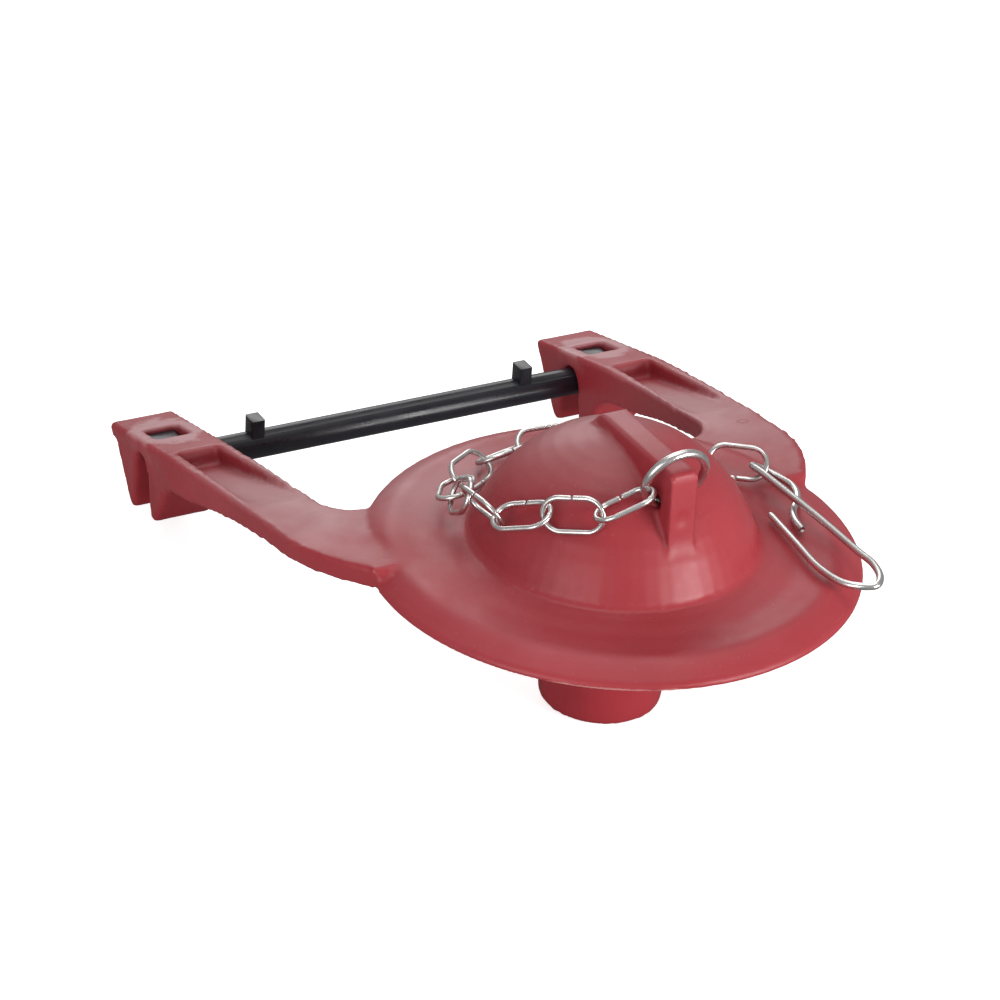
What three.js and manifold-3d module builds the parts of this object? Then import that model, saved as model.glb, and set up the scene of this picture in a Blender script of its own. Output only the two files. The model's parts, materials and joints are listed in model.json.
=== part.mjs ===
// A toilet flapper: a red rubber moulding (sealing disc, air dome, lifting fin, stem and two arms with
// hooked ears), a black plastic crossbar keyed into the ears, a steel ring through the fin, a chain of
// oval wire links wound round the dome, and a bent wire clip at the chain's end.
// Millimetres, +Z up. The shapes are set out from the disc's axis, with the ears' legs at height 0, and
// the whole is moved at the end, so that the origin is under the middle of the object, level with the
// stem's foot. +Y points from the disc to the ears, and X runs along the crossbar.

import * as THREE from 'three';
import { mergeVertices } from 'three/addons/utils/BufferGeometryUtils.js';
import Module from 'manifold-3d';

const wasm = await Module();
wasm.setup();

// Driving dimensions of the disc, dome and stem
const discRadius = 50;
const discTopHeight = 35.4;
const discThickness = 4.4;
const rimLip = 1.1;
const shoulderInset = 3.3;
const shoulderDrop = 1.1;
const shoulderRound = 2.7;
const creaseInset = 5.9;
const creaseDrop = 0.3;
const dishDrop = 0.55;
const domeRadius = 28.9;
const domeRise = 22.4;
const domeBulge = 0.86;
const domeWall = 3.0;
const footRidgeWidth = 0.6;
const footRidgeHeight = 0.7;
const stemRadius = 13.8;
const stemFootRadius = 12.6;
const stemHeight = 11;
const stemFootZ = -2.3;
const stemWall = 4.0;
const funnelRadius = 33;
const funnelWall = 3.2;
const turnSegments = 60;

// Driving dimensions of the lifting fin
const finThickness = 5.8;
const finRise = 2.7;
const finSink = 12;
const finBack = 3.6;
const finBackFoot = 7.5;
const finFront = 23;
const finToe = 26.4;
const finToeRise = 5.1;
const finKneeRise = 9.7;
const finBevel = 0.9;
const finHoleRadius = 1.75;
const finHoleBehindFront = 4.7;
const finHoleBelowTop = 7.8;
const finMarkRadius = 1.3;
const finMarkDepth = 0.35;
const finMarkBelowTop = 9.7;

// Driving dimensions of the arms and ears
const armInnerAtEar = 46.5;
const armOuterAtEar = 61.2;
const armInnerAtDisc = 45.2;
const armOuterAtDisc = 58.8;
const armSlope = 0.124;
const armDroop = 0.00059;
const armRootY = 7;
const armThickness = 4.4;
const armFillet = 9;
const earBackY = 114.2;
const earBackDrop = 0.5;
const earFrontY = 82.5;
const legTipWidth = 2.6;
const frontLegLift = 1.8;
const backLegLift = -0.9;
const legDraft = 0.9;
const legFrontLean = 7.3;
const partingStep = 0.3;
const partingDrop = 3.6;
const windowLength = 8;
const windowWidth = 7.9;
const windowBehindRod = 1.7;
const pocketDepth = 4.1;
const pocketEndY = 43;
const outerRib = 2.9;
const innerRib = 2.6;

// Driving dimensions of the crossbar
const rodRadius = 3.2;
const rodY = 97.3;
const rodBelowEarTop = 7.4;
const rodFit = 0.3;
const tabInset = 11.4;
const tabWidth = 3.1;
const tabLength = 4.1;
const tabRise = 6.8;
const keyRise = 4.5;
const keyWidth = 6.2;

// Driving dimensions of the steel pieces
const ringRadius = 6.4;
const ringWire = 1.8;
const ringLean = 0.3;
const ringShift = -0.35;
const linkWire = 1.1;
const linkLength = 13.1;
const linkWidth = 7.9;
const linkGap = 0.35;
const linkSlack = 0.4;
const clipWire = 1.5;
const clipLength = 50;

// Solids from geometry, and geometry from solids

// A closed geometry's vertices are merged and its collapsed triangles dropped, and it is turned
// outside out if its signed volume is negative.
function solidOf(geometry) {
  const g = geometry.clone();
  g.deleteAttribute('normal');
  g.deleteAttribute('uv');
  const merged = mergeVertices(g, 1e-4);
  const position = merged.getAttribute('position').array;
  const index = merged.index.array;
  const tris = [];
  let volume = 0;
  const a = new THREE.Vector3();
  const b = new THREE.Vector3();
  const c = new THREE.Vector3();
  for (let i = 0; i < index.length; i += 3) {
    const [p, q, r] = [index[i], index[i + 1], index[i + 2]];
    if (p === q || q === r || r === p) continue;
    tris.push(p, q, r);
    a.fromArray(position, 3 * p);
    b.fromArray(position, 3 * q);
    c.fromArray(position, 3 * r);
    volume += a.dot(b.cross(c));
  }
  if (volume < 0) {
    for (let i = 0; i < tris.length; i += 3) [tris[i], tris[i + 1]] = [tris[i + 1], tris[i]];
  }
  const mesh = new wasm.Mesh({
    numProp: 3,
    vertProperties: Float32Array.from(position),
    triVerts: Uint32Array.from(tris),
  });
  return new wasm.Manifold(mesh);
}

function geometryOf(solid) {
  const mesh = solid.getMesh();
  const g = new THREE.BufferGeometry();
  g.setAttribute('position', new THREE.BufferAttribute(Float32Array.from(mesh.vertProperties), 3));
  g.setIndex(new THREE.BufferAttribute(Uint32Array.from(mesh.triVerts), 1));
  return g;
}

const point = (x, y) => new THREE.Vector2(x, y);

// A profile of radius and height, turned about the Z axis
function turned(profile, segments = turnSegments) {
  const g = new THREE.LatheGeometry(profile, segments);
  g.rotateX(Math.PI / 2);
  return solidOf(g);
}

// An outline in X and Y, extruded upwards from z0 to z1
function prismUp(outline, z0, z1) {
  const g = new THREE.ExtrudeGeometry(new THREE.Shape(outline), { depth: z1 - z0, bevelEnabled: false });
  g.translate(0, 0, z0);
  return solidOf(g);
}

// An outline in Y and Z, extruded along X from x0 to x1
function prismAcross(outline, x0, x1) {
  const g = new THREE.ExtrudeGeometry(new THREE.Shape(outline), { depth: x1 - x0, bevelEnabled: false });
  g.rotateZ(Math.PI / 2);
  g.rotateY(Math.PI / 2);
  g.translate(x0, 0, 0);
  return solidOf(g);
}

// An outline in X and Z, extruded along Y from y0 to y1
function prismAlong(outline, y0, y1) {
  const g = new THREE.ExtrudeGeometry(new THREE.Shape(outline), { depth: y1 - y0, bevelEnabled: false });
  g.rotateX(Math.PI / 2);
  g.translate(0, y1, 0);
  return solidOf(g);
}

// Points of a circular arc, from angle a0 to a1 in degrees
function arc(cx, cy, radius, a0, a1, steps) {
  const points = [];
  for (let i = 0; i <= steps; i++) {
    const a = THREE.MathUtils.degToRad(a0 + ((a1 - a0) * i) / steps);
    points.push(point(cx + radius * Math.cos(a), cy + radius * Math.sin(a)));
  }
  return points;
}

// Rounds the corner b between a and c with a quadratic curve that starts reach away from it
function rounded(a, b, c, reach, steps = 4) {
  const start = b.clone().add(a.clone().sub(b).setLength(reach));
  const end = b.clone().add(c.clone().sub(b).setLength(reach));
  return new THREE.QuadraticBezierCurve(start, b, end).getPoints(steps);
}

// The corners of an outline, each rounded by its own reach, given as [x, y, reach]
function roundedOutline(corners, steps = 4) {
  const n = corners.length;
  const at = (i) => point(corners[(i + n) % n][0], corners[(i + n) % n][1]);
  const outline = [];
  for (let i = 0; i < n; i++) {
    const reach = corners[i][2];
    if (reach > 0) outline.push(...rounded(at(i - 1), at(i), at(i + 1), reach, steps));
    else outline.push(at(i));
  }
  return outline;
}

// The rubber moulding

const seatHeight = discTopHeight - discThickness;

// The dome is an ellipse that is cut off below, at its foot: domeBulge says how far down its side
// the foot lies, as the sine of the ellipse's angle there.
const domeFootZ = discTopHeight + footRidgeHeight;
const domeFootAngle = Math.acos(domeBulge + 0.07);
const domeHalfWidth = domeRadius / Math.cos(domeFootAngle);
const domeHalfHeight = domeRise / (1 - Math.sin(domeFootAngle));
const domeCentreZ = domeFootZ - domeHalfHeight * Math.sin(domeFootAngle);
const domeTop = domeCentreZ + domeHalfHeight;
const finTop = domeTop + finRise;

function domeProfile(inset, steps) {
  const points = [];
  for (let i = 0; i <= steps; i++) {
    const a = domeFootAngle + ((Math.PI / 2 - domeFootAngle) * i) / steps;
    const r = (domeHalfWidth - inset) * Math.cos(a);
    points.push(point(i === steps ? 0 : r, domeCentreZ + (domeHalfHeight - inset) * Math.sin(a)));
  }
  return points;
}

// The disc's edge droops from a crease, and inside the crease the disc is dished a little
function turnedOutside() {
  const rim = point(discRadius - 0.15, seatHeight + rimLip);
  const shoulder = point(discRadius - shoulderInset, discTopHeight - shoulderDrop);
  const crease = point(discRadius - creaseInset, discTopHeight - creaseDrop);
  const ridgeRadius = domeRadius + footRidgeWidth;
  return turned([
    point(0, stemFootZ),
    ...arc(stemFootRadius - 1.4, stemFootZ + 1.4, 1.4, -90, 0, 3),
    point(stemRadius, stemHeight),
    point(stemRadius + 1.6, stemHeight + 2.4),
    point(funnelRadius - 2, seatHeight - 4.5),
    point(funnelRadius, seatHeight),
    point(discRadius - 0.5, seatHeight),
    point(discRadius, seatHeight + 0.4),
    rim,
    ...rounded(rim, shoulder, crease, shoulderRound, 4),
    crease,
    point((crease.x + ridgeRadius) / 2, discTopHeight - dishDrop),
    point(ridgeRadius + 2.4, discTopHeight - 0.12),
    point(ridgeRadius, discTopHeight + 0.25),
    point(ridgeRadius - footRidgeWidth * 0.4, domeFootZ - 0.1),
    ...domeProfile(0, 11),
  ]);
}

// The air chamber opens downwards through the stem
function airChamber() {
  return turned([
    point(0, stemFootZ - 1),
    point(stemFootRadius - stemWall, stemFootZ - 1),
    point(stemFootRadius - stemWall, stemFootZ + 2),
    point(stemRadius - stemWall, stemHeight + 1),
    point(funnelRadius - funnelWall - 2.2, seatHeight - 3),
    point(domeHalfWidth - domeWall - 2, seatHeight + 1.5),
    ...domeProfile(domeWall, 6),
  ]);
}

function fin() {
  const top = finTop;
  const outline = roundedOutline([
    [-finToe, domeFootZ, 0],
    [-finToe, domeFootZ + finToeRise, 1.2],
    [-finFront - 0.9, domeFootZ + finKneeRise, 2],
    [-finFront, top, 1.6],
    [finBack, top, 0.8],
    [finBackFoot, domeTop - 1.2, 0],
    [finBackFoot, domeTop - finSink, 0],
  ], 3);
  const half = finThickness / 2;
  const plate = prismAcross(outline, -half, half);
  const section = roundedOutline([
    [-half, 0, 0],
    [-half, top, finBevel],
    [half, top, finBevel],
    [half, 0, 0],
  ], 2);
  const rail = prismAlong(section, -finToe - 2, finBackFoot + 2);
  const plan = roundedOutline([
    [-half, finBackFoot + 2, 0],
    [-half, -finToe, finBevel * 1.6],
    [half, -finToe, finBevel * 1.6],
    [half, finBackFoot + 2, 0],
  ], 2);
  return plate.intersect(rail).intersect(prismUp(plan, 0, top + 1));
}

const finHoleY = -finFront + finHoleBehindFront;
const finHoleZ = finTop - finHoleBelowTop;

function finHole() {
  return prismAcross(arc(finHoleY, finHoleZ, finHoleRadius, 0, 342, 19), -finThickness, finThickness);
}

// The round mark of an ejector pin on the fin's front edge
function finMark() {
  const outline = arc(0, finTop - finMarkBelowTop, finMarkRadius, 0, 330, 11);
  const front = finFront + 0.6;
  return prismAlong(outline, -front - 2, -front + finMarkDepth);
}

// Height of the arms' top face at a place along Y: the arms slope away and droop towards the ears
function armTop(y) {
  const out = y - armRootY;
  return discTopHeight - out * armSlope - out * out * armDroop;
}

const earTopZ = armTop(rodY);
const rodZ = earTopZ - rodBelowEarTop;

function armSideOutline() {
  const slotHalf = rodRadius + rodFit;
  const backTip = rodY + slotHalf + 1.4 + legTipWidth;
  const frontTip = rodY - slotHalf - 0.9 - legTipWidth;
  const below = (y, thickness) => point(y, armTop(y) - thickness);
  const backTop = point(earBackY, armTop(earBackY) - earBackDrop);
  const backFoot = point(backTip, backLegLift);
  const backInner = point(backTip - legTipWidth, backLegLift);
  const frontInner = point(frontTip + legTipWidth, frontLegLift);
  const frontFoot = point(frontTip, frontLegLift);
  const rootLow = point(armRootY - 3, seatHeight + 0.9);
  const frontRoot = below(frontTip - legFrontLean, armThickness + 4.2);
  return [
    ...rounded(point(rodY, armTop(rodY)), backTop, backFoot, 1.6),
    ...rounded(backTop, backFoot, backInner, 0.9, 3),
    ...rounded(backFoot, backInner, point(rodY + slotHalf, rodZ), 0.5, 2),
    ...arc(rodY, rodZ, slotHalf, 0, 180, 10),
    ...rounded(point(rodY - slotHalf, rodZ), frontInner, frontFoot, 0.5, 2),
    ...rounded(frontInner, frontFoot, frontRoot, 0.9, 3),
    ...rounded(frontFoot, frontRoot, below(66, armThickness + 2.6), 3.4, 3),
    below(66, armThickness + 2.6),
    below(58, armThickness * 1.3),
    below(50, armThickness * 1.15),
    below(40, armThickness),
    below(24, armThickness),
    point(4, seatHeight + 0.1),
    point(-2, seatHeight + 0.1),
    point(-2, seatHeight + 0.6),
    rootLow,
    ...rounded(rootLow, point(armRootY - 1, armTop(armRootY)), below(40, 0), 1.2),
    below(40, 0),
    below(62, 0),
    below(earFrontY, 0),
  ];
}

function armPlan() {
  const cornerY = 31;
  const outerCurve = new THREE.CubicBezierCurve(
    point(armOuterAtDisc, cornerY),
    point(armOuterAtDisc, cornerY - 12),
    point(discRadius + 3, 11),
    point(discRadius - 1.5, 4.5),
  ).getPoints(8);
  const rootFillet = arc(armInnerAtDisc - armFillet, discRadius - 17 + armFillet, armFillet, -90, 0, 6);
  return [
    point(armOuterAtEar, earBackY + 2),
    point(armOuterAtEar, earFrontY),
    ...outerCurve,
    point(discRadius - 14, 2),
    point(discRadius - 20, 12),
    point(30, 33),
    ...rootFillet,
    point(armInnerAtEar - 0.2, 78),
    point(armInnerAtEar, earFrontY),
    point(armInnerAtEar, earBackY + 2),
  ];
}

// The legs draw in below the ear on their inner side too, as a moulding must to leave its tool
function legDraftOutline() {
  const partingZ = rodZ + 2;
  const high = discTopHeight + 5;
  return [
    point(armInnerAtEar + legDraft, -2),
    point(armOuterAtEar, -2),
    point(armOuterAtEar, partingZ),
    point(armOuterAtEar - 0.3, high),
    point(discRadius * 0.2, high),
    point(discRadius * 0.2, partingZ + 10),
    point(armInnerAtEar, partingZ),
  ];
}

// Below the mould's parting line the outside of the legs stands back a little. The line runs under
// the ear's top, dips where the front leg ends, and dies out along the arm's underside.
function partingRecess() {
  const line = (y, drop) => point(y, armTop(y) - drop);
  const below = prismAcross([
    point(earBackY + 4, -2),
    line(earBackY + 4, partingDrop),
    line(earFrontY + 7, partingDrop - 0.4),
    line(earFrontY - 1.7, partingDrop * 2),
    line(earFrontY - 14, partingDrop * 2.1),
    line(earFrontY - 24, partingDrop * 1.9),
    point(earFrontY - 24, -2),
  ], armInnerAtEar, armOuterAtEar + 5);
  const high = earTopZ + 2;
  const beside = prismAlong([
    point(armOuterAtEar + 4, -2),
    point(armOuterAtEar + 4, high),
    point(armOuterAtEar - partingStep, high),
    point(armOuterAtEar - partingStep - legDraft, -2),
  ], earFrontY - 26, earBackY + 6);
  return below.intersect(beside);
}

function armPocket() {
  const inner = armInnerAtEar + innerRib;
  const outer = armOuterAtEar - outerRib;
  const plan = roundedOutline([
    [inner, earFrontY, 0],
    [outer, earFrontY, 0],
    [armOuterAtDisc - 1.8, pocketEndY - 6, 3],
    [armInnerAtDisc + 0.8, pocketEndY - 2, 3],
  ], 4);
  const side = [
    point(pocketEndY - 1, armTop(pocketEndY - 1) + 3),
    point(pocketEndY - 1, armTop(pocketEndY - 1) + 0.25),
    point(pocketEndY + 6, armTop(pocketEndY + 6) - 0.55),
    ...rounded(
      point(pocketEndY, armTop(pocketEndY)),
      point(earFrontY - 0.8, armTop(earFrontY) - pocketDepth),
      point(earFrontY, armTop(earFrontY)),
      1.2,
      3,
    ),
    point(earFrontY - 0.3, armTop(earFrontY) - pocketDepth * 0.45),
    point(earFrontY, armTop(earFrontY) - pocketDepth * 0.4),
    point(earFrontY + 0.2, armTop(earFrontY) - 0.7),
    point(earFrontY + 2, armTop(earFrontY) + 0.2),
    point(earFrontY + 2, armTop(earFrontY) + 3),
  ];
  const grown = prismUp(plan, 0, 60).add(
    prismUp([point(inner, earFrontY - 1), point(outer, earFrontY - 1), point(outer - 0.6, earFrontY + 2.4),
      point(inner + 0.6, earFrontY + 2.4)], 0, 60),
  );
  return prismAcross(side, 40, 66).intersect(grown);
}

// The window over the slot, where the crossbar's key shows
const windowX = (armInnerAtEar + armOuterAtEar) / 2;
const windowY = rodY + windowBehindRod;

function earWindow() {
  const outline = roundedOutline([
    [windowX - windowWidth / 2, windowY - windowLength / 2, 0.8],
    [windowX + windowWidth / 2, windowY - windowLength / 2, 0.8],
    [windowX + windowWidth / 2, windowY + windowLength / 2, 0.8],
    [windowX - windowWidth / 2, windowY + windowLength / 2, 0.8],
  ], 2);
  return prismUp(outline, rodZ - rodFit, earTopZ + 5);
}

function mirroredAcross(solid) {
  const g = geometryOf(solid);
  g.scale(-1, 1, 1);
  return solidOf(g);
}

function arm() {
  const blank = prismAcross(armSideOutline(), 8, 66)
    .intersect(prismUp(armPlan(), -2, 60))
    .intersect(prismAlong(legDraftOutline(), -5, 130));
  const underDisc = turned([
    point(0, -5),
    point(discRadius - 0.2, -5),
    point(discRadius - 0.2, seatHeight),
    point(0, seatHeight),
  ]);
  return blank.subtract(underDisc).subtract(armPocket()).subtract(earWindow()).subtract(partingRecess());
}

function rubberBody() {
  const rightArm = arm();
  return turnedOutside()
    .add(rightArm)
    .add(mirroredAcross(rightArm))
    .add(fin())
    .subtract(airChamber())
    .subtract(finHole())
    .subtract(finMark());
}

// The crossbar: a round rod with two upright tabs, and a square key at each end that stands up
// into the window of its ear

function block(x0, x1, y0, y1, z0, z1, corner) {
  const outline = roundedOutline([[x0, y0, corner], [x1, y0, corner], [x1, y1, corner], [x0, y1, corner]], 2);
  return prismUp(outline, z0, z1);
}

function crossbar() {
  const keyHalf = Math.min(keyWidth, windowWidth - 2 * rodFit) / 2;
  const keyFront = Math.max(windowY - windowLength / 2 + rodFit, rodY - rodRadius);
  const keyBack = windowY + windowLength / 2 - rodFit;
  const rodEnd = windowX + keyHalf;
  const rod = prismAcross(arc(rodY, rodZ, rodRadius, 0, 345, 23), -rodEnd, rodEnd);
  const tabX = armInnerAtEar - tabInset - tabWidth / 2;
  const tabFront = rodY - tabLength / 2;
  const tabTop = rodZ + tabRise;
  const pieces = [rod];
  for (const side of [-1, 1]) {
    const [tab, key] = [side * tabX, side * windowX];
    pieces.push(
      block(tab - tabWidth / 2, tab + tabWidth / 2, tabFront, tabFront + tabLength, rodZ, tabTop, 0.3),
      block(key - keyHalf, key + keyHalf, keyFront, keyBack, rodZ, rodZ + keyRise, 0.5),
    );
  }
  return wasm.Manifold.union(pieces);
}

// The ring through the fin

const ringUp = new THREE.Vector3(0, -ringLean, Math.sqrt(1 - ringLean * ringLean));
const ringSeat = new THREE.Vector3(ringShift, finHoleY, finHoleZ - finHoleRadius + ringWire / 2 + 0.35);
const ringCentre = ringSeat.clone().addScaledVector(ringUp, ringRadius - 0.2);

function finRing() {
  const g = new THREE.TorusGeometry(ringRadius, ringWire / 2, 10, 36);
  const across = new THREE.Vector3(1, 0, 0);
  const basis = new THREE.Matrix4().makeBasis(across, ringUp, across.clone().cross(ringUp));
  g.applyMatrix4(basis.setPosition(ringCentre));
  return solidOf(g);
}

// The chain: open oval links of round wire, each hooked through the next, laid from the ring round
// the dome to the clip. Its way is given by stations round the dome: the angle about the disc's axis
// in degrees, how far out in dome radii, and how far up the dome as a share of its rise.

const stations = [
  [229.1, 0.783, 0.623],
  [203.5, 0.838, 0.536],
  [184.1, 0.978, 0.385],
  [161.9, 1.05, 0.345],
  [146.2, 1.12, 0.1],
  [126.5, 1.165, 0.02],
  [107, 1.17, 0],
  [87.9, 1.18, 0],
  [71.2, 1.185, 0],
  [54.8, 1.185, 0],
  [38.5, 1.185, 0],
  [22, 1.18, 0.02],
  [8, 1.44, 0.035],
  [1, 1.78, 0.035],
];
const chainLift = 2.6;

// How far each link is turned about its own length, from lying flat on the rubber, in degrees
const linkTwists = [50, -34, 28, -66, -9, -20, 38, -34, 34, -34, 34, -38, 46];

function station([angle, spread, climb]) {
  const a = THREE.MathUtils.degToRad(angle);
  const r = spread * domeRadius;
  return new THREE.Vector3(r * Math.cos(a), r * Math.sin(a), discTopHeight + chainLift + climb * domeRise);
}

// Joints at equal distances along the chain's way, measured straight from each to the next
function walk(curve, pitch, count) {
  const joints = [curve.getPoint(0)];
  let low = 0;
  while (joints.length <= count) {
    const last = joints[joints.length - 1];
    let high = low;
    while (high < 1 && curve.getPoint(high).distanceTo(last) < pitch) high += 0.002;
    let near = low;
    for (let i = 0; i < 30; i++) {
      const middle = (near + high) / 2;
      if (curve.getPoint(middle).distanceTo(last) < pitch) near = middle;
      else high = middle;
    }
    low = high;
    joints.push(curve.getPoint(high));
  }
  return joints;
}

// The middle line of a link's wire: two straight sides and two half-circle ends, starting and
// ending at the butt gap in the middle of one side
class OvalLoop extends THREE.Curve {
  getPoint(t) {
    const bend = (linkWidth - linkWire) / 2;
    const straight = (linkLength - linkWidth) / 2;
    const around = 2 * Math.PI * bend + 4 * straight - linkGap;
    let s = linkGap / 2 + t * around;
    if (s <= straight) return new THREE.Vector3(s, -bend, 0);
    s -= straight;
    if (s <= Math.PI * bend) {
      const a = s / bend - Math.PI / 2;
      return new THREE.Vector3(straight + bend * Math.cos(a), bend * Math.sin(a), 0);
    }
    s -= Math.PI * bend;
    if (s <= 2 * straight) return new THREE.Vector3(straight - s, bend, 0);
    s -= 2 * straight;
    if (s <= Math.PI * bend) {
      const a = s / bend + Math.PI / 2;
      return new THREE.Vector3(-straight + bend * Math.cos(a), bend * Math.sin(a), 0);
    }
    return new THREE.Vector3(-straight + s - Math.PI * bend, -bend, 0);
  }
}

// A round wire of a given diameter along a curve, with flat cut ends
function wireAlong(curve, diameter, sides, steps) {
  const round = new THREE.Shape(arc(0, 0, diameter / 2, 0, 360 - 360 / sides, sides - 1));
  return new THREE.ExtrudeGeometry(round, { steps, extrudePath: curve });
}

// Away from the rubber: square to the dome's side, or straight up over the flat of the disc
function outward(at) {
  const r = Math.hypot(at.x, at.y);
  if (r > domeRadius * 1.08) return new THREE.Vector3(0, 0, 1);
  const across = domeHalfWidth * domeHalfWidth;
  const up = (at.z - domeCentreZ) / (domeHalfHeight * domeHalfHeight);
  return new THREE.Vector3(at.x / across, at.y / across, up).normalize();
}

const linkPitch = linkLength - 2 * linkWire - linkSlack;
const ringSide = THREE.MathUtils.degToRad(207);
const ringGrip = ringCentre.clone()
  .add(new THREE.Vector3(ringRadius * Math.cos(ringSide), 0, 0))
  .addScaledVector(ringUp, ringRadius * Math.sin(ringSide));

function chainJoints() {
  const places = stations.map(station);
  const start = ringGrip.clone().sub(places[0]).setLength(ringWire / 2).add(ringGrip);
  const way = new THREE.CatmullRomCurve3([start, ...places], false, 'centripetal');
  return walk(way, linkPitch, linkTwists.length);
}

const joints = chainJoints();

function chainLink(i) {
  const along = joints[i + 1].clone().sub(joints[i]).normalize();
  const middle = joints[i].clone().add(joints[i + 1]).multiplyScalar(0.5);
  const away = outward(middle);
  away.addScaledVector(along, -away.dot(along)).normalize();
  away.applyAxisAngle(along, THREE.MathUtils.degToRad(linkTwists[i]));
  const across = away.clone().cross(along);
  const g = wireAlong(new OvalLoop(), linkWire, 6, 20);
  g.applyMatrix4(new THREE.Matrix4().makeBasis(along, across, away).setPosition(middle));
  return solidOf(g);
}

// The clip: one length of wire bent into a long loop, hooked through the chain's last link. Its
// places are measured from where it passes through that link, in shares of its length.
const clipPath = [
  [-0.146, -0.29, -0.042],
  [-0.172, -0.528, -0.042],
  [-0.19, -0.718, -0.042],
  [-0.166, -0.846, -0.04],
  [-0.124, -0.904, -0.032],
  [-0.07, -0.928, -0.028],
  [-0.024, -0.888, -0.026],
  [0.008, -0.792, -0.025],
  [0.004, -0.7, -0.023],
  [-0.008, -0.446, -0.012],
  [-0.028, -0.192, -0.002],
  [-0.04, -0.066, 0.004],
  [-0.04, 0.018, -0.002],
  [-0.01, 0.04, -0.022],
  [0.03, 0.012, -0.038],
  [0.058, -0.052, -0.045],
  [0.068, -0.126, -0.046],
  [0.038, -0.208, -0.046],
  [-0.036, -0.292, -0.046],
  [-0.072, -0.36, -0.046],
  [-0.086, -0.434, -0.046],
];

function leverClip() {
  const grip = joints[joints.length - 1];
  const places = clipPath.map((place) => new THREE.Vector3(...place).multiplyScalar(clipLength).add(grip));
  const way = new THREE.CatmullRomCurve3(places);
  return solidOf(wireAlong(way, clipWire, 8, 52));
}

// Puts the pieces together

const finishes = {
  rubber: { color: 0xa53c46, roughness: 0.62, metalness: 0 },
  plastic: { color: 0x2a292e, roughness: 0.45, metalness: 0 },
  steel: { color: 0xc8c4be, roughness: 0.25, metalness: 1 },
};

function piece(name, solid, finish) {
  const mesh = new THREE.Mesh(geometryOf(solid), new THREE.MeshStandardMaterial(finishes[finish]));
  mesh.name = name;
  return mesh;
}

const flapper = new THREE.Group();
flapper.add(piece('rubber_body', rubberBody(), 'rubber'));
flapper.add(piece('crossbar', crossbar(), 'plastic'));
flapper.add(piece('fin_ring', finRing(), 'steel'));
linkTwists.forEach((_, i) => {
  flapper.add(piece(`chain_link_${String(i + 1).padStart(2, '0')}`, chainLink(i), 'steel'));
});
flapper.add(piece('lever_clip', leverClip(), 'steel'));

// The origin goes under the middle of the whole, level with the lowest point
const extent = new THREE.Box3().setFromObject(flapper);
const middle = extent.getCenter(new THREE.Vector3());
flapper.children.forEach((mesh) => mesh.geometry.translate(-middle.x, -middle.y, -extent.min.z));

export default flapper;
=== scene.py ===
# %% [markdown]
# # A toilet flapper, finished for a still picture
#
# The object is the valve flap that sits at the bottom of a cistern: a red rubber moulding with a black
# plastic crossbar, and a steel ring, chain and clip that lift it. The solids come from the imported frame.
# Here each one gets the soft corners, round wire and worn surface that the real pieces show.
#
# Everything is in metres, in the frame's own axes: Z up the disc's axis, Y from the disc to the ears.

import json
import math

import bmesh
import bpy
import numpy as np
from mathutils import Matrix, Vector

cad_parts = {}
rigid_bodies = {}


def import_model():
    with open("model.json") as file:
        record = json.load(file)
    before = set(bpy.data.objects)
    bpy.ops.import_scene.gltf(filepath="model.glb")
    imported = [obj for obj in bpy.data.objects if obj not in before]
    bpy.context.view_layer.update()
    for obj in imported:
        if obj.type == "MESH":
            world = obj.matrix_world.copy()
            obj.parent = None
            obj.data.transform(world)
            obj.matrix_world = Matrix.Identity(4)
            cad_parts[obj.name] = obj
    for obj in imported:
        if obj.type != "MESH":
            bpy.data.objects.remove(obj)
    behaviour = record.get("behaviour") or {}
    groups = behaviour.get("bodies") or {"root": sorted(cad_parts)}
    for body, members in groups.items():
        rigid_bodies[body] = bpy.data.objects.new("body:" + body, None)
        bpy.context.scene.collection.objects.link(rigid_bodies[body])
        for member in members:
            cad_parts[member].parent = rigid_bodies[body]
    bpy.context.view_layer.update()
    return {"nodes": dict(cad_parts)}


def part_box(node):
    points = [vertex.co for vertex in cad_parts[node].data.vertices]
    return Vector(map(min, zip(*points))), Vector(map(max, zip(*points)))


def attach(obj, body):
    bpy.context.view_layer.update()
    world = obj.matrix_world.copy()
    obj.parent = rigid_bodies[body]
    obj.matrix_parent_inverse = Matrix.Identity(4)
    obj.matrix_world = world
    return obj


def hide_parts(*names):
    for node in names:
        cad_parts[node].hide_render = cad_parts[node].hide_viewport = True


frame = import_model()
nodes = frame["nodes"]
MM = 0.001

# %% [markdown]
# ## Helpers
#
# A piece is a mesh at the origin, unturned and unscaled, so its places are the frame's places. Wires are
# swept: a circle is carried along a path, which is how drawn wire is described in a workshop.


# %% Pieces from numbers
def new_piece(name, points, faces):
    """A smooth-shaded object from an array of points, in metres, and a list of faces."""
    mesh = bpy.data.meshes.new(name)
    mesh.from_pydata(points.tolist(), [], faces)
    mesh.validate()
    mesh.shade_smooth()
    piece = bpy.data.objects.new(name, mesh)
    bpy.context.scene.collection.objects.link(piece)
    return piece


def unit(v):
    """Each row divided by its own length."""
    return v / np.linalg.norm(v, axis=-1, keepdims=True)


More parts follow.
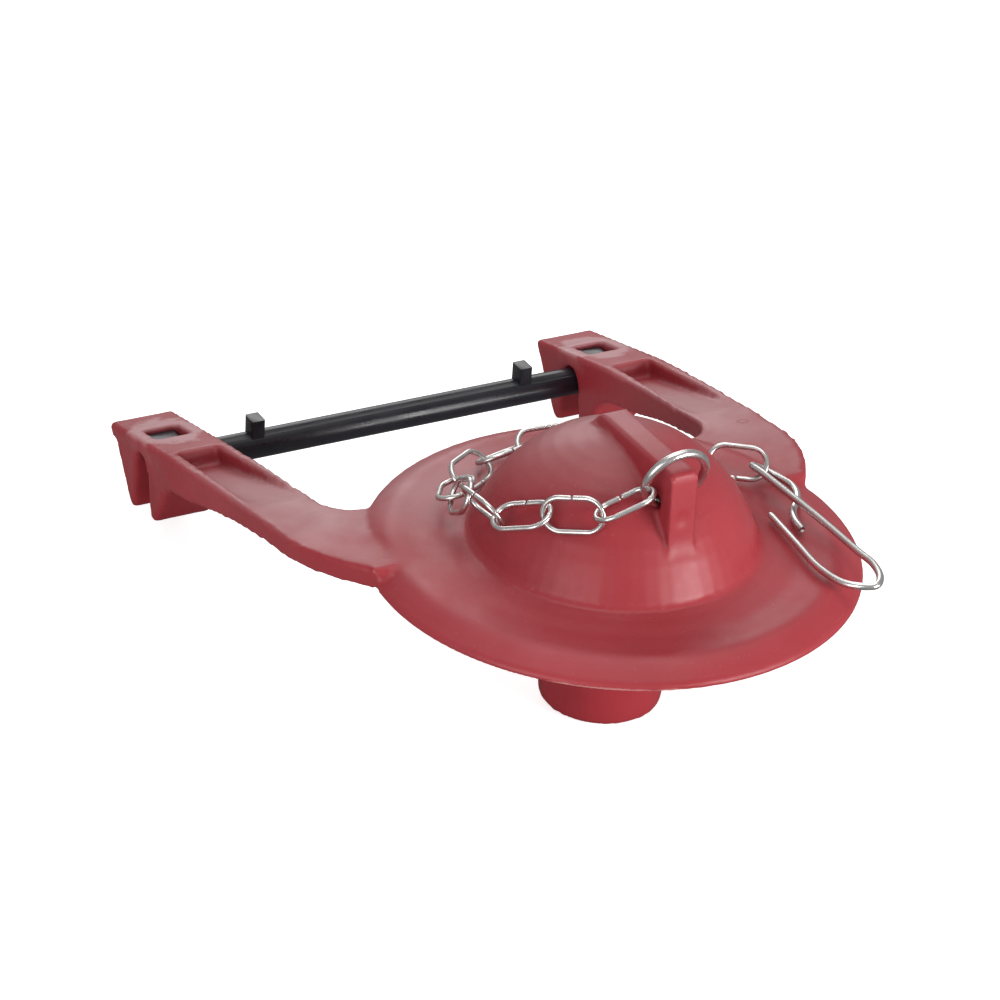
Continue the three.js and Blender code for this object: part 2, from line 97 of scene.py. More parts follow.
def swept(path, reference, radius, sides, closed):
    """Points and faces of a wire: each path point carries a ring of points at radius times
    (side cos a + normal sin a), where side is square to the path's direction and to the reference."""
    n = len(path)
    if closed:
        direction = np.roll(path, -1, axis=0) - np.roll(path, 1, axis=0)
    else:
        direction = np.gradient(path, axis=0)
    direction = unit(direction)
    side = unit(np.cross(direction, reference))
    normal = np.cross(side, direction)
    a = np.linspace(0, 2 * np.pi, sides, endpoint=False)
    ring = side[:, None] * np.cos(a)[None, :, None] + normal[:, None] * np.sin(a)[None, :, None]
    points = path[:, None] + ring * np.broadcast_to(radius, n)[:, None, None]
    i, j = np.meshgrid(np.arange(n if closed else n - 1), np.arange(sides), indexing="ij")
    k = (i + 1) % n
    m = (j + 1) % sides
    quads = np.stack([i * sides + j, k * sides + j, k * sides + m, i * sides + m], axis=-1).reshape(-1, 4)
    points = points.reshape(-1, 3)
    caps = [] if closed else [list(range(sides))[::-1], list(range((n - 1) * sides, n * sides))]
    return points, outward(points, quads, caps)


def outward(points, quads, caps):
    """The faces, all turned over if the volume that the quads enclose comes out negative."""
    a, b, c, d = (points[quads[:, k]] for k in range(4))
    volume = (a * (np.cross(b, c) + np.cross(c, d))).sum()
    faces = quads.tolist() + caps
    return faces if volume > 0 else [face[::-1] for face in faces]


def merged_copy(name, node):
    """A copy of a frame solid's mesh with its doubled points merged."""
    work = bmesh.new()
    work.from_mesh(nodes[node].data)
    bmesh.ops.remove_doubles(work, verts=work.verts, dist=0.002 * MM)
    mesh = bpy.data.meshes.new(name)
    work.to_mesh(mesh)
    work.free()
    piece = bpy.data.objects.new(name, mesh)
    bpy.context.scene.collection.objects.link(piece)
    return piece


def points_of(piece):
    """A piece's points as an array, in metres."""
    flat = np.empty(3 * len(piece.data.vertices))
    piece.data.vertices.foreach_get("co", flat)
    return flat.reshape(-1, 3)


def stands_for(piece, node):
    """Hides the frame's solid that a piece replaces, and hangs the piece on the whole so that it moves with
    it.
    """
    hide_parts(node)
    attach(piece, "root")
    return piece


# %% [markdown]
# ## The rubber moulding
#
# Soft rubber leaves its mould with every corner rounded, and no flat facets. So the solid is rebuilt as
# an even skin that keeps its edges, then relaxed: each point moves towards the mean of its neighbours,
# then a little further back out. The two moves together round the sharp corners but keep the volume.

# %% An even skin
SKIN_SQUARE = 0.721 * MM


def even_skin(piece, size):
    """The piece's mesh rebuilt from even squares of about that size, with its edges kept."""
    skin = piece.modifiers.new("skin", "REMESH")
    skin.mode = "SHARP"
    skin.octree_depth = 8
    skin.scale = max(piece.dimensions) / (size * 2**skin.octree_depth)
    skin.use_remove_disconnected = False
    evaluated = piece.evaluated_get(bpy.context.evaluated_depsgraph_get())
    mesh = bpy.data.meshes.new_from_object(evaluated)
    piece.modifiers.clear()
    piece.data = mesh
    return piece


def relaxed(mesh, points, rounds, weight):
    """Points moved by a share of the way to their neighbours' mean, times their weight, first by 0.6,
    then back by 0.61. The neighbours are those that the mesh's edges join."""
    pairs = np.empty(2 * len(mesh.edges), dtype=np.int64)
    mesh.edges.foreach_get("vertices", pairs)
    a, b = pairs.reshape(-1, 2).T
    n = len(points)
    count = (np.bincount(a, minlength=n) + np.bincount(b, minlength=n))[:, None]
    for share in [0.6, -0.61] * rounds:
        total = [np.bincount(a, points[b, k], n) + np.bincount(b, points[a, k], n) for k in range(3)]
        points = points + share * weight * (np.stack(total, axis=1) / count - points)
    return points


body = merged_copy("rubber_moulding", "rubber_body")
even_skin(body, SKIN_SQUARE)
points = points_of(body)
print("rubber_moulding", len(body.data.polygons), "squares")

# %% [markdown]
# The disc's top is dished, and an arm's top has to flow into it. So the arm's root is lowered to the
# disc's own top, less and less along the arm. The skin is then relaxed, least over the dome, where the fin
# keeps its crisp edges, and most at the corner where the arm's front side meets the disc.

# %% The arms' roots
DISC_AXIS = np.array([0, -31.821]) * MM
DISC_RADIUS = 50 * MM
DISC_MIDDLE = 35.2 * MM
DOME_FOOT = 32 * MM
CREASE = 43.5 * MM
BLEND_END = -2 * MM
BLEND_LENGTH = 16 * MM
ROOT_CORNER = np.array([40, -22.5, 37.2]) * MM
ROOT_REACH = np.array([9, 9, 4]) * MM


def mean_by(along, values, step):
    """Middles of the steps along a coordinate, and the mean value in each, empty steps left out."""
    number = (along / step).astype(int)
    count = np.bincount(number)
    filled = np.flatnonzero(count)
    return (filled + 0.5) * step, np.bincount(number, values)[filled] / count[filled]


def root_blended(points, from_axis):
    """Points of the disc's top by an arm's root, lowered by a share of their height over h(r). That is the
    mean height of the front half's points at the radius r, and past the crease it stays as it is there.
    The share grows with the way forward from the blend's end, and fades in the last 2 mm of the disc."""
    edge = DISC_RADIUS + 0.5 * MM
    on_top = (from_axis > DOME_FOOT + 2 * MM) & (from_axis < edge) & (points[:, 2] > DISC_MIDDLE)
    front = on_top & (points[:, 1] < DISC_AXIS[1]) & (from_axis < edge - 2 * MM)
    radii, heights = mean_by(from_axis[front], points[front, 2], 0.5 * MM)
    top = np.interp(np.minimum(from_axis, CREASE), radii, heights)
    share = np.clip((BLEND_END - points[:, 1]) / BLEND_LENGTH, 0, 1)
    share *= np.clip((edge - from_axis) / (2 * MM), 0, 1)
    behind = on_top & (points[:, 1] > DISC_AXIS[1])
    points[behind, 2] -= (share * np.maximum(points[:, 2] - top, 0))[behind]
    return points


from_axis = np.linalg.norm(points[:, :2] - DISC_AXIS, axis=1)
points = root_blended(points, from_axis)
points = relaxed(body.data, points, 26, np.clip((from_axis - DOME_FOOT) / MM, 0.2, 1)[:, None])
to_right = np.column_stack([np.abs(points[:, 0]), points[:, 1:]])
far = np.linalg.norm((to_right - ROOT_CORNER) / ROOT_REACH, axis=1)
points = relaxed(body.data, points, 40, np.clip(2 - 2 * far, 0, 1)[:, None])
print("disc", 2 * DISC_RADIUS / MM, "mm across, arms blended over", BLEND_LENGTH / MM, "mm")

# %% [markdown]
# The rim's mould is round, so its outer wall is brought back to a true circle in front of the arms.

# %% The rim
RIM_UNDERSIDE = 32 * MM
ARMS_FRONT = -26 * MM


def rim_trued(points):
    """Points of the rim's outer wall moved to R(z), the wall's mean radius at their height. The share moved
    rises from 0 to 1 over 0.7 mm of radius and over 3 mm in front of the arms."""
    out = points[:, :2] - DISC_AXIS
    radius = np.linalg.norm(out, axis=1)
    at_rim = points[:, 2] > RIM_UNDERSIDE
    wall = at_rim & (radius > DISC_RADIUS - 0.7 * MM) & (points[:, 1] < ARMS_FRONT - 3 * MM)
    heights, radii = mean_by(points[wall, 2], radius[wall], 0.25 * MM)
    true = np.interp(points[:, 2], heights, radii)
    share = np.clip((radius - DISC_RADIUS + 1.2 * MM) / (0.7 * MM), 0, 1) * at_rim
    share *= np.clip((ARMS_FRONT - points[:, 1]) / (3 * MM), 0, 1)
    points[:, :2] += out * (share * (true / np.maximum(radius, MM) - 1))[:, None]
    return points


low, high = (np.array(corner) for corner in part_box("rubber_body"))
points = np.clip(rim_trued(points), low, high)
body.data.vertices.foreach_set("co", points.ravel())
body.data.update()
body.data.shade_smooth()
stands_for(body, "rubber_body")
print("rubber_moulding spans", np.round(np.ptp(points, axis=0) / MM, 1), "mm")

# %% [markdown]
# ## The crossbar
#
# The bar is hard plastic, so its corners are crisp, but no mould makes a knife edge: a narrow bevel
# catches the light along the tabs and the keys.

# %% The crossbar's bevels
bar = merged_copy("pivot_bar", "crossbar")
flat = bar.modifiers.new("flats", "DECIMATE")
flat.decimate_type = "DISSOLVE"
flat.angle_limit = math.radians(2)
edge = bar.modifiers.new("edge", "BEVEL")
edge.width = 0.3 * MM
edge.segments = 3
edge.limit_method = "ANGLE"
edge.angle_limit = math.radians(40)
edge.harden_normals = True
bar.data.shade_smooth()
stands_for(bar, "crossbar")
print("pivot_bar", len(bar.data.vertices), "points before its bevels")

# %% [markdown]
# ## Steel wire
#
# The ring, the links and the clip are drawn wire. A link is an oval loop with its ends butted half way
# along one side. Where each one lies is read from its solid in the frame: the long way of its points is
# the link's length, and the short way is square to its plane.


# %% Where a loop lies
def lie_of(node):
    """Centre and three unit directions, longest spread first, of a solid's points."""
    points = points_of(nodes[node])
    world = np.array(nodes[node].matrix_world)
    points = points @ world[:3, :3].T + world[:3, 3]
    _, axes = np.linalg.eigh(np.cov((points - points.mean(axis=0)).T))
    axes = axes.T[::-1]
    local = points @ axes.T
    centre = ((local.min(axis=0) + local.max(axis=0)) / 2) @ axes
    return centre, axes, (points - centre) @ axes.T


LINK_LENGTH = 13.1 * MM
LINK_WIDTH = 7.9 * MM
LINK_WIRE = 1.1 * MM
LINK_GAP = 0.35 * MM


def oval_path(steps):
    """Points of an oval in its own plane, by distance along it from the gap: half a straight side, a half
    circle, a straight side, a half circle, and the other half side."""
    bend = (LINK_WIDTH - LINK_WIRE) / 2
    straight = (LINK_LENGTH - LINK_WIDTH) / 2
    around = 2 * np.pi * bend + 4 * straight
    s = np.linspace(LINK_GAP / 2, around - LINK_GAP / 2, steps)
    extra = np.array([0.05, 0.14]) * MM
    s = np.sort(np.concatenate([s, s[:1] + extra, s[-1:] - extra]))
    first, second = straight, straight + np.pi * bend
    third, fourth = second + 2 * straight, second + 2 * straight + np.pi * bend
    a = np.clip((s - first) / bend, 0, np.pi) - np.pi / 2
    b = np.clip((s - third) / bend, 0, np.pi) + np.pi / 2
    x = np.where(
        s < third,
        np.minimum(s, straight) + bend * np.cos(a) - np.clip(s - second, 0, 2 * straight),
        -straight + bend * np.cos(b) + np.maximum(s - fourth, 0),
    )
    y = np.where(s < third, bend * np.sin(a), bend * np.sin(b))
    radius = np.full(len(s), LINK_WIRE / 2)
    rounding = [0.72, 0.92, 0.99]
    radius[[0, 1, 2]] *= rounding
    radius[[-1, -2, -3]] *= rounding
    return x, y, radius


for number in range(1, 14):
    node = "chain_link_%02d" % number
    centre, (along, across, away), local = lie_of(node)
    near = np.abs(local[:, 0]) < 0.3 * MM
    if (local[near, 1] > 0).sum() > (local[near, 1] < 0).sum():
        across = -across
    x, y, radius = oval_path(96)
    path = centre + x[:, None] * along + y[:, None] * across
    link = new_piece("wire_link_%02d" % number, *swept(path, away, radius, 18, False))
    stands_for(link, node)
print("13 links of", LINK_LENGTH / MM, "by", LINK_WIDTH / MM, "mm")

# %% The lifting ring
RING_WIRE = 1.8 * MM
centre, (first, second, away), local = lie_of("fin_ring")
ring_radius = (np.ptp(local[:, 0]) - RING_WIRE) / 2
a = np.linspace(0, 2 * np.pi, 120, endpoint=False)[:, None]
path = centre + ring_radius * (np.cos(a) * first + np.sin(a) * second)
ring = new_piece("lifting_ring", *swept(path, away, RING_WIRE / 2, 28, True))
stands_for(ring, "fin_ring")
print("ring radius", round(float(ring_radius) / MM, 2), "mm")

# %% [markdown]
# The clip is one length of wire, bent by hand into a long loop and hooked through the last link. Its
# bends are places measured from that link, and the whole is laid so that its middle is its solid's.


# %% The clip
CLIP_WIRE = 1.5 * MM
CLIP_PLACES = (
    (-7.3, -14.5, -2.1),
    (-8.6, -26.4, -2.1),
    (-9.5, -35.9, -2.1),
    (-8.3, -42.3, -2),
    (-6.2, -45.2, -1.6),
    (-3.5, -46.4, -1.4),
    (-1.2, -44.4, -1.3),
    (0.4, -39.6, -1.25),
    (0.2, -35, -1.15),
    (-0.4, -22.3, -0.6),
    (-1.4, -9.6, -0.1),
    (-2, -3.3, 0.2),
    (-2, 0.9, -0.1),
    (-0.5, 2, -1.1),
    (1.5, 0.6, -1.9),
    (2.9, -2.6, -2.25),
    (3.4, -6.3, -2.3),
    (1.9, -10.4, -2.3),
    (-1.8, -14.6, -2.3),
    (-3.6, -18, -2.3),
    (-4.3, -21.7, -2.3),
)


def through(places, steps):
    """A curve through the places. Between two of them each coordinate is a cubic in t whose slopes at its
    ends come from the places on either side, spaced by the square root of their distance."""
    ends = np.vstack([2 * places[0] - places[1], places, 2 * places[-1] - places[-2]])
    p0, p1, p2, p3 = (ends[k : len(ends) - 3 + k, None] for k in range(4))
    spans = (p1 - p0, p2 - p1, p3 - p2)
    d0, d1, d2 = (np.linalg.norm(span, axis=-1, keepdims=True) ** 0.5 for span in spans)
    m1 = ((p1 - p0) / d0 - (p2 - p0) / (d0 + d1) + (p2 - p1) / d1) * d1
    m2 = ((p2 - p1) / d1 - (p3 - p1) / (d1 + d2) + (p3 - p2) / d2) * d1
    t = np.linspace(0, 1, steps, endpoint=False)[None, :, None]
    curve = p1 + m1 * t + (3 * (p2 - p1) - 2 * m1 - m2) * t**2 + (2 * (p1 - p2) + m1 + m2) * t**3
    return np.vstack([curve.reshape(-1, 3), places[-1:]])


clip_low, clip_high = (np.array(corner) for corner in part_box("lever_clip"))
places = np.array(CLIP_PLACES) * MM
path = through(places, 14)
path += (clip_low + clip_high) / 2 - (path.min(axis=0) + path.max(axis=0)) / 2
radius = np.full(len(path), CLIP_WIRE / 2)
radius[[0, 1]] *= [0.8, 0.97]
radius[[-1, -2]] *= [0.8, 0.97]
clip = new_piece("hook_wire", *swept(path, np.array([0.0, 0.0, 1.0]), radius, 24, False))
stands_for(clip, "lever_clip")
print("clip wire", round(float(np.linalg.norm(np.diff(path, axis=0), axis=1).sum()) / MM, 1), "mm long")

# %% [markdown]
# ## Finishes
#
# Old red rubber grows a pale bloom: wax and dust that gathers on faces that look up, thickest where
# nothing rubs it. The same pale colour also paints a sheen there: the pale highlight of the white room on
# faces that look up, painted in as colour. Bloom and painted sheen are one shared group, so its amount
# and colour can be tried on other pieces.


# %% Node helpers
def group_of(name, inputs, outputs):
    """An empty shader group with named inputs (name, kind, value) and outputs (name, kind)."""
    tree = bpy.data.node_groups.new(name, "ShaderNodeTree")
    for label, kind, value in inputs:
        socket = tree.interface.new_socket(label, in_out="INPUT", socket_type=kind)
        if value is not None:
            socket.default_value = value
    for label, kind in outputs:
        tree.interface.new_socket(label, in_out="OUTPUT", socket_type=kind)
    return tree, tree.nodes.new("NodeGroupInput"), tree.nodes.new("NodeGroupOutput")


def ranged(tree, source, low, high, to_low=0.0, to_high=1.0):
    """A value brought from one range to another, and held at its ends."""
    node = tree.nodes.new("ShaderNodeMapRange")
    node.inputs["From Min"].default_value = low
    node.inputs["From Max"].default_value = high
    node.inputs["To Min"].default_value = to_low
    node.inputs["To Max"].default_value = to_high
    tree.links.new(source, node.inputs["Value"])
    return node.outputs["Result"]


def calc(tree, operation, one, two):
    """The result of a math node on two values. Either may be a number."""
    node = tree.nodes.new("ShaderNodeMath")
    node.operation = operation
    for socket, value in zip(node.inputs, (one, two)):
        if isinstance(value, (int, float)):
            socket.default_value = value
        else:
            tree.links.new(value, socket)
    return node.outputs[0]


def mixed(tree, factor, one, two):
    """A colour between two, by a factor. Either colour may be a tuple."""
    node = tree.nodes.new("ShaderNodeMix")
    node.data_type = "RGBA"
    tree.links.new(factor, node.inputs["Factor"])
    for socket, value in ((node.inputs[6], one), (node.inputs[7], two)):
        if isinstance(value, tuple):
            socket.default_value = value
        else:
            tree.links.new(value, socket)
    return node.outputs[2]


def noise(tree, vector, scale, detail, rough=0.5):
    """The value of a noise pattern of that scale."""
    node = tree.nodes.new("ShaderNodeTexNoise")
    node.inputs["Scale"].default_value = scale
    node.inputs["Detail"].default_value = detail
    node.inputs["Roughness"].default_value = rough
    tree.links.new(vector, node.inputs["Vector"])
    return node.outputs["Fac"]


# %% The bloom and painted sheen group
bloom_and_sheen, enter, leave = group_of(
    "bloom_and_painted_sheen",
    [
        ("Place", "NodeSocketVector", None),
        ("Rubber", "NodeSocketColor", (0.3, 0.03, 0.04, 1)),
        ("Pale", "NodeSocketColor", (0.6, 0.36, 0.38, 1)),
        ("Amount", "NodeSocketFloat", 0.5),
        ("Patches", "NodeSocketFloat", 0.0),
    ],
    [("Colour", "NodeSocketColor"), ("Bloom and sheen", "NodeSocketFloat")],
)
facing = bloom_and_sheen.nodes.new("ShaderNodeNewGeometry")
split = bloom_and_sheen.nodes.new("ShaderNodeSeparateXYZ")
bloom_and_sheen.links.new(facing.outputs["Normal"], split.inputs[0])
upward = ranged(bloom_and_sheen, split.outputs["Z"], 0.1, 1.0, 0.12, 1.0)
cloud = ranged(bloom_and_sheen, noise(bloom_and_sheen, enter.outputs["Place"], 38, 4, 0.6), 0.3, 0.72, 0.2, 1.0)
specks = ranged(bloom_and_sheen, noise(bloom_and_sheen, enter.outputs["Place"], 1500, 2, 0.5), 0.66, 0.76, 0.0, 0.35)
haze = calc(bloom_and_sheen, "MULTIPLY", calc(bloom_and_sheen, "MULTIPLY", upward, cloud), enter.outputs["Amount"])
haze = calc(bloom_and_sheen, "ADD", haze, calc(bloom_and_sheen, "MULTIPLY", specks, calc(bloom_and_sheen, "MULTIPLY", upward, 0.3)))
# The patches add bloom and a painted sheen: a pale highlight of the white room painted on faces that look
# up.
haze = calc(bloom_and_sheen, "ADD", haze, calc(bloom_and_sheen, "MULTIPLY", upward, enter.outputs["Patches"]))
haze = calc(bloom_and_sheen, "MINIMUM", haze, 1.0)
bloom_and_sheen.links.new(mixed(bloom_and_sheen, haze, enter.outputs["Rubber"], enter.outputs["Pale"]), leave.inputs["Colour"])
bloom_and_sheen.links.new(haze, leave.inputs["Bloom and sheen"])

# %% [markdown]
# Moulded rubber and plastic share a fine skin: the grain of the mould, felt more than seen.

# %% The grain group
grain, enter, leave = group_of(
    "mould_grain",
    [
        ("Place", "NodeSocketVector", None),
        ("Fine", "NodeSocketFloat", 1200.0),
        ("Wave", "NodeSocketFloat", 0.5),
    ],
    [("Height", "NodeSocketFloat"), ("Wear", "NodeSocketFloat")],
)
fine = grain.nodes.new("ShaderNodeTexNoise")
fine.inputs["Detail"].default_value = 2
grain.links.new(enter.outputs["Place"], fine.inputs["Vector"])
grain.links.new(enter.outputs["Fine"], fine.inputs["Scale"])
broad = noise(grain, enter.outputs["Place"], 120, 3)
height = calc(grain, "ADD", fine.outputs["Fac"], calc(grain, "MULTIPLY", broad, enter.outputs["Wave"]))
grain.links.new(height, leave.inputs["Height"])
grain.links.new(ranged(grain, broad, 0.35, 0.7), leave.inputs["Wear"])


def material(name):
    """A new material, with its tree, its Principled node and the place of each point on the object."""
    made = bpy.data.materials.new(name)
    made.use_nodes = True
    tree = made.node_tree
    place = tree.nodes.new("ShaderNodeTexCoord").outputs["Object"]
    return made, tree, tree.nodes["Principled BSDF"], place


def use_group(tree, group, place, **values):
    """A group in a material, fed with the place. Values are set or linked by input name."""
    node = tree.nodes.new("ShaderNodeGroup")
    node.node_tree = group
    tree.links.new(place, node.inputs["Place"])
    for name, value in values.items():
        if isinstance(value, bpy.types.NodeSocket):
            tree.links.new(value, node.inputs[name])
        else:
            node.inputs[name].default_value = value
    return node


def bumped(tree, shader, height, strength, distance):
    """A bump from a height, on a shader's normal."""
    node = tree.nodes.new("ShaderNodeBump")
    node.inputs["Strength"].default_value = strength
    node.inputs["Distance"].default_value = distance
    tree.links.new(height, node.inputs["Height"])
    tree.links.new(node.outputs["Normal"], shader.inputs["Normal"])


def near_place(tree, place, centre, reach, ragged, inner):
    """1 at a centre in mm, falling to 0 at an ellipsoid round it whose half axes are the reach in mm. The
    fall starts at the share inner of the way out, and a noise of the strength ragged breaks its outline."""
    moved = tree.nodes.new("ShaderNodeVectorMath")
    moved.operation = "SUBTRACT"
    moved.inputs[1].default_value = [value * MM for value in centre]
    tree.links.new(place, moved.inputs[0])
    scaled = tree.nodes.new("ShaderNodeVectorMath")
    scaled.operation = "DIVIDE"
    scaled.inputs[1].default_value = [value * MM for value in reach]
    tree.links.new(moved.outputs[0], scaled.inputs[0])
    far = tree.nodes.new("ShaderNodeVectorMath")
    far.operation = "LENGTH"
    tree.links.new(scaled.outputs[0], far.inputs[0])
    wobble = calc(tree, "MULTIPLY", calc(tree, "SUBTRACT", noise(tree, place, 210, 4, 0.6), 0.5), ragged)
    return ranged(tree, calc(tree, "ADD", far.outputs["Value"], wobble), inner, 1.0, 1.0, 0.0)


# %% [markdown]
# On this piece the pale patches lie thickest round the ears' windows and along the arms, and thinner on
# the dome's crown and the disc behind it. Round the windows they are bloom. Along the arms, on the crown
# and on the disc behind it they are partly bloom and partly a painted sheen: the pale highlight of the
# white room on faces that look up and back, painted in as colour. A pale thread of flash runs under the
# rim, and the right arm has a small plain ring as a mould mark.

# %% Red rubber
# Pale patches: round the ears' windows they are bloom; along the arms, on the dome's crown and on the disc
# behind it they are partly bloom and partly painted sheen, a pale highlight painted in as colour.
BLOOM_AND_SHEEN_PATCHES = (
    # centre in mm, reach in mm, ragged, inner, strength
    ((-53.8, 66, 20), (9, 13, 5), 1.1, 0.8, 0.52),
    ((53.8, 66, 20), (9, 13, 5), 1.1, 0.8, 0.52),
    ((-50, 18, 28), (15, 46, 12), 0.2, 0.3, 0.4),
    ((50, 18, 28), (15, 46, 12), 0.2, 0.3, 0.4),
    ((-12, -24, 62), (30, 26, 14), 0.2, 0.2, 0.27),
    ((-24, 2, 37), (30, 22, 9), 0.2, 0.2, 0.27),
)
MARK_PLACE = (53.4, 4.3, 30.5)
DARK_RED = (0.27, 0.02, 0.027, 1)
RED = (0.33, 0.03, 0.04, 1)
# Pale colour of the bloom and of the painted sheen.
PALE_BLOOM_AND_SHEEN = (0.56, 0.37, 0.385, 1)
PALE_FLASH = (0.62, 0.36, 0.34, 1)
MARK_RED = (0.24, 0.02, 0.026, 1)

rubber, tree, shader, place = material("red_rubber")
tone = ranged(tree, noise(tree, place, 22, 3), 0.35, 0.65)
red = mixed(tree, tone, DARK_RED, RED)
patches = 0.0
for centre, reach, ragged, inner, strength in BLOOM_AND_SHEEN_PATCHES:
    patch = calc(tree, "MULTIPLY", near_place(tree, place, centre, reach, ragged, inner), strength)
    patches = calc(tree, "ADD", patches, patch)
# The pale colour mixed in here is bloom and a painted sheen.
bloom_and_sheen_node = use_group(tree, bloom_and_sheen, place, Rubber=red, Pale=PALE_BLOOM_AND_SHEEN, Amount=0.02, Patches=patches)
flash = calc(tree, "MULTIPLY", near_place(tree, place, (-25, -75, 33), (24, 14, 1.2), 1.2, 0.7), 0.45)
flashed = mixed(tree, flash, bloom_and_sheen_node.outputs["Colour"], PALE_FLASH)
mark_outer = near_place(tree, place, MARK_PLACE, (1.9, 1.5, 6), 0.1, 0.85)
mark_inner = near_place(tree, place, MARK_PLACE, (1.1, 0.8, 6), 0.1, 0.85)
mark = calc(tree, "SUBTRACT", mark_outer, mark_inner)
marked = mixed(tree, calc(tree, "MULTIPLY", mark, 0.6), flashed, MARK_RED)
tree.links.new(marked, shader.inputs["Base Color"])
shader.inputs["Specular IOR Level"].default_value = 0.36
skin = use_group(tree, grain, place, Fine=2600.0, Wave=0.5)
tree.links.new(ranged(tree, skin.outputs["Wear"], 0, 1, 0.36, 0.5), shader.inputs["Roughness"])
raised = calc(tree, "ADD", skin.outputs["Height"], calc(tree, "MULTIPLY", mark, 5.0))
bumped(tree, shader, raised, 0.08, 0.12 * MM)
body.data.materials.clear()
body.data.materials.append(rubber)

# %% Black plastic
plastic, tree, shader, place = material("black_plastic")
tone = ranged(tree, noise(tree, place, 60, 3), 0.3, 0.7)
black = mixed(tree, tone, (0.006, 0.0055, 0.009, 1), (0.013, 0.012, 0.018, 1))
tree.links.new(black, shader.inputs["Base Color"])
shader.inputs["Specular IOR Level"].default_value = 0.42
skin = use_group(tree, grain, place, Fine=2200.0, Wave=0.4)
tree.links.new(ranged(tree, skin.outputs["Wear"], 0, 1, 0.24, 0.36), shader.inputs["Roughness"])
bumped(tree, shader, skin.outputs["Height"], 0.06, 0.08 * MM)
bar.data.materials.clear()
bar.data.materials.append(plastic)

# %% [markdown]
# Drawn steel wire is bright, with fine scratches and a duller film where water has dried.

# %% Bright wire
steel, tree, shader, place = material("bright_wire")
film = ranged(tree, noise(tree, place, 210, 4, 0.6), 0.38, 0.7)
bright = mixed(tree, film, (0.74, 0.715, 0.7, 1), (0.5, 0.48, 0.47, 1))
tree.links.new(bright, shader.inputs["Base Color"])
shader.inputs["Metallic"].default_value = 1.0
tree.links.new(ranged(tree, film, 0, 1, 0.22, 0.38), shader.inputs["Roughness"])
scratches = noise(tree, place, 2600, 2)
bumped(tree, shader, scratches, 0.08, 0.05 * MM)
for piece in bpy.data.objects:
    if piece.name.startswith(("wire_link_", "lifting_ring", "hook_wire")):
        piece.data.materials.clear()
        piece.data.materials.append(steel)

# %% [markdown]
# ## Floor, light and camera
#
# The picture is a plain product shot: white all round, light from large soft boxes. The floor is pale
# and keeps its shadow. It is greyer in what the wires and the rubber mirror, so that their undersides stay
# dark. The camera stands where the photograph was taken from, with a long lens.

# %% Floor
FLOOR_HALF = 4.0
FLOOR_UNDER = 0.1 * MM

floor_mesh = bpy.data.meshes.new("floor")
corners = [(x * FLOOR_HALF, y * FLOOR_HALF, -FLOOR_UNDER) for x, y in ((-1, -1), (1, -1), (1, 1), (-1, 1))]
floor_mesh.from_pydata(corners, [], [(0, 1, 2, 3)])
floor = bpy.data.objects.new("floor", floor_mesh)
bpy.context.scene.collection.objects.link(floor)
paper = bpy.data.materials.new("white_paper")
paper.use_nodes = True
tree = paper.node_tree
tree.nodes.clear()
out = tree.nodes.new("ShaderNodeOutputMaterial")
matt = tree.nodes.new("ShaderNodeBsdfDiffuse")
matt.inputs["Color"].default_value = (0.82, 0.82, 0.82, 1)
glow = tree.nodes.new("ShaderNodeEmission")
glow.inputs["Strength"].default_value = 0.72
lit = tree.nodes.new("ShaderNodeAddShader")
tree.links.new(matt.outputs[0], lit.inputs[0])
tree.links.new(glow.outputs[0], lit.inputs[1])
grey = tree.nodes.new("ShaderNodeBsdfDiffuse")
grey.inputs["Color"].default_value = (0.25, 0.25, 0.25, 1)
ray = tree.nodes.new("ShaderNodeLightPath")
mirrored = tree.nodes.new("ShaderNodeMixShader")
tree.links.new(ray.outputs["Is Glossy Ray"], mirrored.inputs[0])
tree.links.new(matt.outputs[0], mirrored.inputs[1])
tree.links.new(grey.outputs[0], mirrored.inputs[2])
seen = tree.nodes.new("ShaderNodeMixShader")
tree.links.new(ray.outputs["Is Camera Ray"], seen.inputs[0])
tree.links.new(mirrored.outputs[0], seen.inputs[1])
tree.links.new(lit.outputs[0], seen.inputs[2])
tree.links.new(seen.outputs[0], out.inputs["Surface"])
floor_mesh.materials.append(paper)

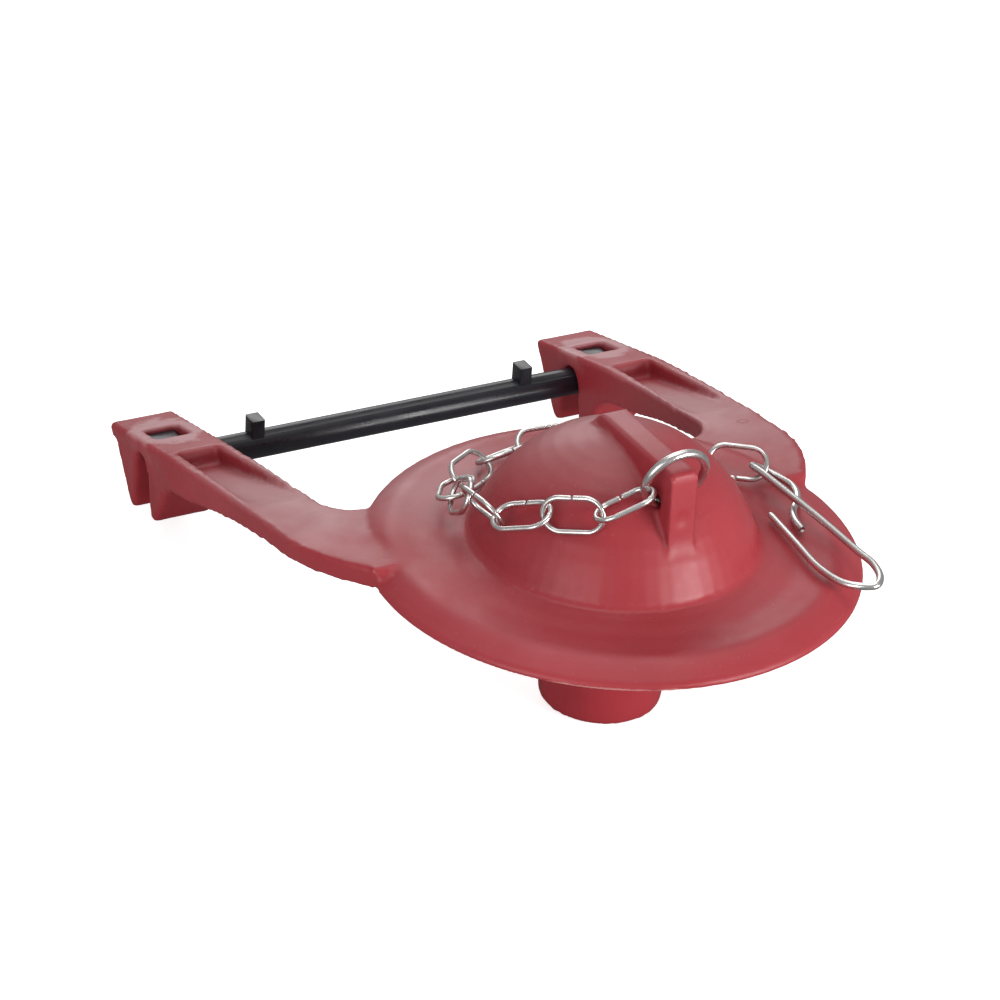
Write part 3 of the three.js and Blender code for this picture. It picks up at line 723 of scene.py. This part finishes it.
# %% Light
world = bpy.data.worlds.new("studio")
bpy.context.scene.world = world
world.use_nodes = True
tree = world.node_tree
tree.nodes.clear()
out = tree.nodes.new("ShaderNodeOutputWorld")
room = tree.nodes.new("ShaderNodeBackground")
room.inputs["Color"].default_value = (1, 1, 1, 1)
room.inputs["Strength"].default_value = 0.4
white = tree.nodes.new("ShaderNodeBackground")
white.inputs["Color"].default_value = (1, 1, 1, 1)
white.inputs["Strength"].default_value = 1.0
ray = tree.nodes.new("ShaderNodeLightPath")
seen = tree.nodes.new("ShaderNodeMixShader")
tree.links.new(ray.outputs["Is Camera Ray"], seen.inputs[0])
tree.links.new(room.outputs[0], seen.inputs[1])
tree.links.new(white.outputs[0], seen.inputs[2])
tree.links.new(seen.outputs[0], out.inputs["Surface"])


def softbox(name, place, target, size, power):
    """A square area light at a place, turned to a target."""
    lamp = bpy.data.lights.new(name, "AREA")
    lamp.size = size
    lamp.energy = power
    holder = bpy.data.objects.new(name, lamp)
    holder.location = place
    holder.rotation_euler = (Vector(target) - Vector(place)).to_track_quat("-Z", "Y").to_euler()
    bpy.context.scene.collection.objects.link(holder)


softbox("top_box", (0.1, 0.1, 0.9), (0, 0, 0.02), 0.7, 3.2)
softbox("front_box", (0.45, -0.85, 0.2), (0, 0, 0.03), 0.45, 9.0)
softbox("left_box", (-0.75, -0.45, 0.25), (0, 0, 0.03), 0.6, 3.6)
softbox("back_box", (0.35, 0.9, 0.5), (0, 0, 0.03), 0.6, 2.8)

# %% [markdown]
# The view was found from the photograph: the disc's rim, the bar's ends and the ears' corners fix where
# the lens was, which way it looked and how it was tilted.

# %% Camera
TURN = 0.526280
DROP = 0.526303
ROLL = 0.069117
STAND = Vector((-276.544, -462.283, 340.425)) * MM
LENS = 108.04
look = Vector((math.sin(TURN) * math.cos(DROP), math.cos(TURN) * math.cos(DROP), -math.sin(DROP)))
right = Vector((math.cos(TURN), -math.sin(TURN), 0))
up = right.cross(look)
tilted_right = right * math.cos(ROLL) + up * math.sin(ROLL)
tilted_up = up * math.cos(ROLL) - right * math.sin(ROLL)
camera_data = bpy.data.cameras.new("photo_view")
camera_data.sensor_width = 36
camera_data.lens = LENS
camera_data.clip_start = 0.01
camera = bpy.data.objects.new("photo_view", camera_data)
pose = Matrix((tilted_right, tilted_up, -look)).transposed().to_4x4()
pose.translation = STAND
camera.matrix_world = pose
bpy.context.scene.collection.objects.link(camera)
bpy.context.scene.camera = camera
bpy.context.scene.view_settings.view_transform = "Standard"
print("camera stands", round(STAND.length, 3), "m from the origin")
